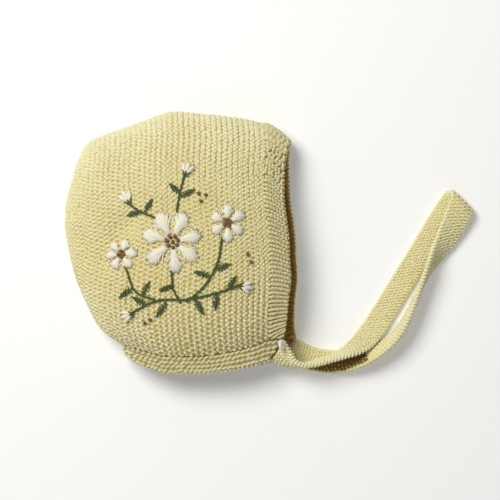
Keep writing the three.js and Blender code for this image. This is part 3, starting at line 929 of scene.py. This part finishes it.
def cap_grid(columns, rows):
    """The whole cap as one grid, near band line to far band line, seam to top fold."""
    near = layer_steps(True, columns, CAP_DEPTH)
    far = layer_steps(False, columns, CAP_DEPTH)
    grid = []
    for height in layer_steps(True, rows, CAP_HEIGHT):
        near_row = cap_point(True, near, np.full_like(near, height))
        # toward the top fold the far row's points come to lie under the near one's
        place = lerp(far[:-1], near[:-1], height**FAR_ROUND)
        far_row = cap_point(False, place, np.full_like(place, height))
        grid.append(np.concatenate([near_row, far_row[::-1]]))
    return np.array(grid)


cap_points = cap_grid(columns=90, rows=100)
cap_bed = layer("cap_cloth", cap_points, BED, WALL - BED, cloth["ground_cloth"], folded=True)
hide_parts("crown_shell")

# The neckband


def band_outline(point, columns, length, sink):
    """A band as one grid, near corner to far corner; point(near, steps) gives each layer's points."""
    near, far = (layer_steps(side, columns, length, sink) for side in (True, False))
    return np.concatenate([point(True, near), point(False, far[-2::-1])], axis=1)


def neck_grid(columns, rows):
    """The neckband as one grid, rim to seam."""
    down = np.linspace(NECK_CLOTH_END, 0, rows + 1)[:, None]
    return band_outline(lambda near, inward: neck_point(near, inward, down), columns, CAP_DEPTH, NECK_SINK)


neck_groups, neck_inside_groups = [], []
for near, facing, seed in ((True, UP, 21), (False, -UP, 22)):
    inward = layer_steps(near, 4 * round(NECK_LENGTH / NECK_STITCH), CAP_DEPTH, NECK_SINK)
    down = np.linspace(0, 1, 4 * NECK_RIDGES + 1)[:, None]
    neck_sheet = knit_sheet(neck_point(near, inward, down), facing)
    pitch = NECK_HEIGHT / NECK_RIDGES
    neck_groups += garter(neck_sheet, pitch, NECK_STITCH, NECK_LOOPS, seed=seed, rings=7, dive=NECK_DIVE)
    neck_inside_groups += garter(
        neck_sheet, pitch, NECK_STITCH, NECK_INSIDE, seed=seed, sides=5, inside=LINING_DEPTH
    )
    table, _, (_, _, outward) = neck_sheet
    out = unit(table[-1] - table[-3])
    neck_groups.append(rim_chain(table[-1], out, outward[-1], NECK_RIM_PITCH, WALL, seed))
# painted shade: the neckband's stitches get the darker yarn
neck_work = strands("neckband_stitches", neck_groups, yarn["shaded_neck_yarn"])
# painted shade: the neckband's inner stitches get the deep brown yarn
strands("neckband_inside", neck_inside_groups, yarn["shaded_inside_yarn"])
neck_points = neck_grid(columns=70, rows=8)
# painted shade: the neckband's cloth is the darker one
neck_bed = layer("neckband_cloth", neck_points, NECK_BED, WALL - NECK_BED, cloth["shaded_neck_cloth"])
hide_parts("neck_band")

# The ribbed face band


def zoned(zones, plain, uneven, fold=0.0):
    """A value of each rib stitch: plain, and what its shares of the uneven zone and of the fold add."""
    return plain + uneven * zones[0] + fold * zones[1]


def rib_groups(near, seed):
    """Groups of the outer and of the inner side: ribs of V stitches with a sunken row between two ribs."""
    draw = np.random.default_rng(seed)
    ribs = round(CAP_HEIGHT / RIB_PITCH)
    steps = layer_steps(near, 4 * ribs, CAP_HEIGHT, FACE_SINK)
    even = np.linspace(0, 1, len(steps))
    stitch = BAND_WIDTH / RIB_STITCHES
    a = np.linspace(-1, 1, 6)

    def on_band(out, share):
        """Points at these shares of the band's width and of its length."""
        return band_point(near, out, np.interp(share, even, steps))

    groups, inner_groups = [], []
    for quarter, first, hand in RIB_ROWS:
        rung = (np.arange(-RIBS_BELOW, ribs)[:, None] + quarter / 4) / ribs
        out = (np.arange(RIB_STITCHES) + first) / (RIB_STITCHES + RIB_END)
        climb = RIB_FAN * np.exp(-np.maximum(rung, 0) / RIB_FAN_REACH) * out
        share = rung + climb
        centre = on_band(out, share)
        # directions from points a little further out, above and below
        t = unit(on_band(out + RIB_AHEAD, share + climb * RIB_AHEAD / out) - centre)
        b = unit(on_band(out, share + RIB_ASIDE) - on_band(out, share - RIB_ASIDE))
        n = unit(np.cross(t, b)) * (1 if near else -1)
        ok = (share > RIB_RANGE[0]) & (share < RIB_RANGE[1])
        centre, t, b, n, share = centre[ok], t[ok], b[ok], n[ok], share[ok]
        count = len(centre)
        fold = np.clip((share - RIB_FOLD[0]) / RIB_FOLD[1], 0, 1)
        uneven = np.clip((share - RIB_UNEVEN[0]) / RIB_UNEVEN[1], 0, 1) * (1 - fold)
        zones = (uneven, fold)
        if hand:
            turn = hand * zoned(zones, *RIB_LEAN) + draw.normal(0, zoned(zones, *RIB_LEAN_NOISE), count)
            lift = RIB_LIFT + draw.normal(0, zoned(zones, *RIB_LIFT_NOISE), count)
            reach = stitch * zoned(zones, *RIB_REACH)
        else:
            turn = draw.normal(zoned(zones, *SUNKEN_LEAN), zoned(zones, *SUNKEN_LEAN_NOISE), count)
            turn = turn * (1 - fold)
            lift = SUNKEN_LIFT + SUNKEN_RISE * np.maximum(uneven, fold)
            reach = stitch * zoned(zones, *SUNKEN_REACH)
        turn = turn[:, None]
        t2 = t * np.cos(turn) + b * np.sin(turn)
        z = lift[:, None] - RIB_DIVE * RIB_YARN * a**4
        shift = draw.normal(0, zoned(zones, *RIB_SHIFT_NOISE), count)[:, None]
        slip = draw.normal(0, 1, count) * uneven * RIB_SLIP_NOISE * stitch
        centre = centre + t * slip[:, None] + b * shift
        paths = centre[:, None] + (reach[:, None] * a)[..., None] * t2[:, None] + z[..., None] * n[:, None]
        thickness = RIB_YARN * draw.normal(1, RIB_THICKNESS_NOISE, count) * zoned(zones, *RIB_THICKNESS)
        radii = thickness[:, None] * (1 - RIB_TAPER * a**4)
        groups.append((paths, radii, n, 6))
        inner = paths - (RIB_LINING_DEPTH + 2 * z)[..., None] * n[:, None]
        inner_groups.append((inner[:, ::-1], radii, -n, 5))
    return groups, inner_groups


def face_grid(columns, rows):
    """The face band as one grid, seam to rim."""
    out = np.linspace(0, RIB_CLOTH_END, rows + 1)[:, None]
    return band_outline(lambda near, up: band_point(near, out, up), columns, CAP_HEIGHT, FACE_SINK)


near_ribs, near_wrong_side = rib_groups(True, seed=31)
far_ribs, far_wrong_side = rib_groups(False, seed=32)
face_rim = face_grid(columns=200, rows=4)
rim_out = unit(face_rim[-1] - face_rim[-2])
rim_normal = unit(np.cross(np.gradient(face_rim, axis=0), np.gradient(face_rim, axis=1)))[-1]
face_chain = rim_chain(face_rim[-1], rim_out, rim_normal, BAND_RIM_PITCH, BAND_WALL, seed=33)
band_work = strands("face_band_stitches", near_ribs + far_ribs + [face_chain], yarn["rib_yarn"])
# painted shade: the face band's wrong side gets the deep brown yarn
strands("face_band_inside", near_wrong_side + far_wrong_side, yarn["shaded_inside_yarn"])
face_points = face_grid(columns=110, rows=5)
band_bed = layer("face_band_cloth", face_points, RIB_BED, BAND_WALL - RIB_BED, cloth["ground_cloth"])
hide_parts("face_band")

# The chin strap

strap_length = strap_frames(10)[-1]
middle, along, width, normal, half, _ = strap_frames(4 * round(strap_length / STRAP_STITCH))
shares = np.linspace(-1, 1, 4 * STRAP_RIDGES + 1)[:, None, None]
strap_groups, strap_shaded_groups = [], []
for side, seed in ((1, 41), (-1, 42)):
    face = middle + width * (half[:, None] - EDGE_CLEAR) * shares
    face = face + normal * side * (STRAP_WALL / 2 - STRAP_SINK)
    frames = tuple(np.broadcast_to(way, face.shape) for way in (width, along, normal * side))
    # painted shadow: the wrong side's stitches under the strap's other end get the dark yarn
    last_half = np.arange(len(middle)) > len(middle) / 2
    shaded = last_half & (middle[:, 0] > STRAP_SHADE[0]) & (middle[:, 0] < STRAP_SHADE[1])
    shade_line = STRAP_SHADE_Y + STRAP_SHADE_SLOPE * (face[..., 0] - STRAP_SHADE[0])
    shaded = shaded & (normal[:, 2] * side > 0) & (face[..., 1] < shade_line)
    for groups, where, (lean, *loops) in (
        (strap_groups, ~shaded, STRAP_LOOPS),
        (strap_shaded_groups, shaded, STRAP_SHADED_LOOPS),
    ):
        strap_sheet = (face, where, frames)
        shape = (-side * lean, *loops)
        pitch = STRAP_WIDTH / STRAP_RIDGES
        groups += garter(strap_sheet, pitch, STRAP_STITCH, shape, seed=seed, sides=5, dive=STRAP_DIVE)


def selvages():
    """Bars across the thickness of the strap along both its edges."""
    middle, along, width, normal, half, _ = strap_frames(round(strap_length / EDGE_PITCH))
    a = np.linspace(-1, 1, 6)[None, :, None]
    groups = []
    for edge in (-1, 1):
        out = width[:, None] * edge
        base = middle[:, None] + out * (half[:, None, None] - EDGE_SET + EDGE_BULGE * (1 - a**2))
        paths = base + normal[:, None] * a * (STRAP_WALL / 2) + along[:, None] * a * EDGE_PITCH * EDGE_LEAN
        groups.append((paths, EDGE_YARN, width * edge, 6))
    return groups


strap_work = strands("strap_stitches", strap_groups + selvages(), yarn["strap_yarn"])
strands("strap_stitches_shaded", strap_shaded_groups, yarn["painted_shade_strap_yarn"])


def strap_core(steps):
    """The cloth between the strap's two faces, a closed band: its vertices and faces."""
    middle, along, width, normal, half, _ = strap_frames(steps)
    corner = STRAP_CLOTH_CORNER
    section = [(1, 0), (corner, 1), (0, 1), (-corner, 1), (-1, 0), (-corner, -1), (0, -1), (corner, -1)]
    across = width * (half[:, None] - STRAP_CLOTH_SIDE)
    up = normal * (STRAP_WALL / 2 - STRAP_CLOTH_FACE)
    vertices = np.stack([middle + across * w + up * t for w, t in section], axis=1)
    n, sides = vertices.shape[:2]
    i = np.arange(n - 1)[:, None] * sides
    k = np.arange(sides)[None]
    following = (k + 1) % sides
    quads = np.stack([i + k, i + following, i + sides + following, i + sides + k], axis=-1).reshape(-1, 4)
    start = np.array([[0, j + 1, j] for j in range(1, sides - 1)])
    end = start[:, [0, 2, 1]] + (n - 1) * sides
    return vertices.reshape(-1, 3), [quads, np.concatenate([start, end])]


strap_bed = piece("strap_cloth", *strap_core(STRAP_CLOTH_STEPS), cloth["strap_ground_cloth"])
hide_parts("chin_strap")

# The embroidery: a spray of flowers, buds and leaves, worked through the near side


def cap_place(x, y):
    """The cap's two shares at a plan position, found by a few rounds of substitution."""
    inward = np.full(np.shape(x), 0.5)
    up = np.full(np.shape(x), 0.5)
    for _ in range(12):
        up = (y - seam_y(inward)) / (top_y(inward) - seam_y(inward))
        inward = (x - band_x(up)) / (back_x(up) - band_x(up))
    return inward, up


def cap_height(x, y):
    inward, up = cap_place(x, y)
    return cap_point(True, inward, up)[..., 2]


def drape(x, y, lift):
    """Points on the near side above a plan position, and the outward directions there."""
    step = 0.5
    z = cap_height(x, y)
    slope_x = (cap_height(x + step, y) - z) / step
    slope_y = (cap_height(x, y + step) - z) / step
    outward = unit(stack(-slope_x, -slope_y, 1.0 + 0 * z))
    return stack(x, y, z) + outward * np.asarray(lift)[..., None], outward


def threads(starts, ends, bow, rise, radius):
    """Long stitches from start to end in plan, bowed sideways by bow and raised by rise."""
    starts, ends = np.asarray(starts, float), np.asarray(ends, float)
    t = np.linspace(0, 1, 7)
    hump = np.sin(np.pi * t)
    line = lerp(starts[:, None], ends[:, None], t[None, :, None])
    way = unit(ends - starts)
    side = np.stack([-way[:, 1], way[:, 0]], axis=1)
    line = line + side[:, None] * (np.broadcast_to(bow, len(starts))[:, None] * hump)[..., None]
    rise = np.broadcast_to(rise, len(starts))[:, None]
    lift = STITCH_TOP - THREAD_SINK + (rise + THREAD_SINK) * hump**0.5
    points, outward = drape(line[..., 0], line[..., 1], lift)
    return points, radius * (0.55 + 0.45 * hump), outward[:, len(t) // 2], 6


def heading(angle):
    return np.array([math.cos(angle), math.sin(angle)])


def petal(base, angle, length, width, draw, count):
    """Satin stitches that fan from the flower's heart to a rounded tip, in two layers."""
    ahead, aside = heading(angle), heading(angle + math.pi / 2)
    layers = []
    for over, share in ((0.0, 1.0), (0.55, 0.8)):
        spots = np.linspace(-1, 1, count) * share + draw.normal(0, 0.03, count)
        reach = length * (np.sqrt(np.maximum(1 - (0.8 * spots) ** 2, 0)) * (0.94 + 0.06 * share))
        reach = reach + draw.normal(0, 0.03 * length, count)
        tips = base + ahead * reach[:, None] + aside * (spots * width / 2)[:, None]
        roots = base + ahead * 0.5 + aside * (spots * width * 0.1)[:, None]
        bow = -spots * width * 0.16
        layers.append(threads(roots, tips, bow, 0.5 + over + 0.4 * (1 - spots**2), THREAD))
    return layers


def knot(x, y, draw, lift):
    """A French knot: thread wound round itself into a small coil."""
    t = np.linspace(0, 1, 18)
    angle = 2 * math.pi * KNOT_TURNS * t + draw.uniform(0, 2 * math.pi)
    spread = KNOT_RADIUS * (1 - 0.55 * t)
    points, outward = drape(np.full_like(t, x), np.full_like(t, y), STITCH_TOP + lift * (t - 0.15))
    first = unit(np.cross(outward, (0.0, 1.0, 0.0)))
    second = np.cross(outward, first)
    coil = points + first * (spread * np.cos(angle))[:, None] + second * (spread * np.sin(angle))[:, None]
    return coil[None], KNOT_THREAD, outward[:1], 6


def blossom(x, y, size, petals, turn, draw):
    """A flower with satin petals and a heart of knots: (cream groups, brown groups)."""
    cream, brown = [], []
    heart = np.array([x, y])
    for k in range(petals):
        angle = turn + 2 * math.pi * k / petals + draw.normal(0, 0.06)
        length = size / 2 * draw.normal(1, 0.04)
        width = 2.1 * length * math.sin(math.pi / petals) * 0.72
        base = heart + heading(angle) * size * 0.07
        cream += petal(base, angle, length - size * 0.07, width, draw, count=max(6, round(width / 0.75)))
    for count, radius in ((1, 0.0), (max(3, round(size / 6)), size * 0.085)):
        for k in range(count):
            place = heart + heading(2 * math.pi * k / count + turn) * radius
            brown.append(knot(*place, draw, lift=1.5))
    return cream, brown


def stem(points):
    """Stem stitch along a smooth curve: each stitch starts beside the middle of the one before."""
    flat = np.hstack([np.array(points, float), np.zeros((len(points), 1))])
    fine = catmull_rom(flat, np.linspace(0, len(points) - 1, 400))[:, :2]
    run = row_run(fine)
    length = sum(math.dist(a, b) for a, b in zip(points, points[1:]))
    count = max(4, round(length / STEM_PITCH))
    place = read_along(fine, run, np.linspace(0, run[-1], count))
    way = unit(np.gradient(place, axis=0))
    side = np.stack([-way[:, 1], way[:, 0]], axis=1)
    starts = place - way * STEM_PITCH * 0.85 - side * 0.35
    ends = place + way * STEM_PITCH * 0.85 + side * 0.35
    return [
        threads(starts, ends, 0.12, 0.45, THREAD * 0.95),
        threads(starts + side * 0.5, ends + side * 0.5, 0.12, 0.4, THREAD * 0.9),
    ]


def leaf(x, y, angle, length, width, draw):
    """Fishbone stitches from both sides of a midrib."""
    base = np.array([x, y])
    ahead, aside = heading(angle), heading(angle + math.pi / 2)
    groups = []
    for hand in (1, -1):
        t = np.linspace(0.05, 0.92, LEAF_PAIRS) + draw.normal(0, 0.01, LEAF_PAIRS)
        swell = np.sin(np.pi * np.clip(t * 0.9 + 0.12, 0, 1)) ** 0.8
        outer = base + ahead * (t * length * 0.92)[:, None] + aside * (hand * width / 2 * swell)[:, None]
        middle = base + ahead * np.minimum(t * length + 2.2, length)[:, None] + aside * (-hand * 0.15)
        groups.append(threads(middle, outer, hand * 0.3, 0.5, THREAD * 0.95))
    groups.append(threads([base], [base + ahead * length], 0.0, 0.75, THREAD * 0.9))
    return groups


def bud(x, y, angle, size, draw):
    """A half-open flower: three narrow petals and a green cup."""
    cream, green = [], []
    base = np.array([x, y])
    for k in (-1, 0, 1):
        cream += petal(base, angle + 0.5 * k, size * (1 - 0.08 * abs(k)), size * 0.42, draw, count=6)
    for k in (-1, 0, 1):
        way = heading(angle + 0.75 * k)
        back = heading(angle) * -1.8
        green.append(threads([base + back], [base + way * size * 0.42], 0.1 * k, 1.1, THREAD))
    return cream, green


needle = np.random.default_rng(5)
cream_groups, green_groups, brown_groups = [], [], []
for x, y, size, petals, turn in BLOSSOMS:
    cream, brown = blossom(x, y, size, petals, turn, needle)
    cream_groups += cream
    brown_groups += brown
for x, y, angle, size in BUDS:
    cream, green = bud(x, y, math.radians(angle), size, needle)
    cream_groups += cream
    green_groups += green
for points in STEMS:
    green_groups += stem(points)
for x, y, angle, length, width in LEAVES:
    green_groups += leaf(x, y, math.radians(angle), length, width, needle)
for x, y in BERRIES:
    brown_groups.append(knot(x, y, needle, lift=1.1))

cream_work = strands("embroidery_cream", cream_groups, yarn["cream_thread"])
green_work = strands("embroidery_green", green_groups, yarn["green_thread"])
brown_work = strands("embroidery_brown", brown_groups, yarn["brown_thread"])

# The button keeps its CAD shape.

pearl = Shader("pearl", roughness=0.3)
pearl.put("Base Color", pearl.mix(pearl.noise(scale=420.0), tone(*PEARL[0]), tone(*PEARL[1])))
pearl.put("Coat Weight", 0.4)
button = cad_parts["button"]
for slot in button.material_slots:
    slot.material = pearl.material

button_axes = np.array([
    [math.cos(BUTTON_TILT), 0, -math.sin(BUTTON_TILT)],
    [0, 1, 0],
    [math.sin(BUTTON_TILT), 0, math.cos(BUTTON_TILT)],
])
sewing = np.array([[(x, y, z) for x, z in BUTTON_THREAD] for y in (-BUTTON_YARN, BUTTON_YARN)])
sewing = sewing @ button_axes + BUTTON_PLACE
button_normals = np.broadcast_to(button_axes[2], (2, 3))
strands("button_thread", [(sewing, BUTTON_YARN, button_normals, 6)], yarn["cream_thread"])

# Floor, light and camera

floor_mesh = bpy.data.meshes.new("floor")
floor_corners = [(x * FLOOR_HALF, y * FLOOR_HALF, 0) for x, y in ((-1, -1), (1, -1), (1, 1), (-1, 1))]
floor_mesh.from_pydata(floor_corners, [], [(0, 1, 2, 3)])
floor = add("floor", floor_mesh)
floor_shader = Shader("floor", roughness=0.8)
floor_shader.put("Base Color", tone(246, 246, 246))
floor_shader.put("Emission Color", tone(255, 255, 255))
floor_shader.put("Emission Strength", FLOOR_GLOW)
floor_mesh.materials.append(floor_shader.material)

camera_data = bpy.data.cameras.new("camera")
camera_data.sensor_width = SENSOR
camera_data.lens = SENSOR * (CAMERA_HEIGHT - FOLD_LEVEL * MM) / FRAME_WIDTH
camera_data.clip_end = 20
camera = add("camera", camera_data)
camera.location = (*VIEW_CENTRE, CAMERA_HEIGHT)
bpy.context.scene.camera = camera

# square soft lights that aim at the bonnet
for name, direction, distance, size, power, colour in LIGHTS:
    light_data = bpy.data.lights.new(name, "AREA")
    light_data.size = size
    light_data.energy = power
    light_data.color = colour
    light = add(name, light_data)
    place = unit(np.array(direction, float)) * distance
    light.location = (place[0] + VIEW_CENTRE[0], place[1] + VIEW_CENTRE[1], place[2])
    light.rotation_euler = Vector(place).to_track_quat("Z", "Y").to_euler()

world = bpy.data.worlds.new("studio")
world.use_nodes = True
background = world.node_tree.nodes["Background"]
background.inputs["Color"].default_value = (1, 1, 1, 1)
background.inputs["Strength"].default_value = WORLD_STRENGTH
bpy.context.scene.world = world
bpy.context.scene.view_settings.view_transform = "Standard"
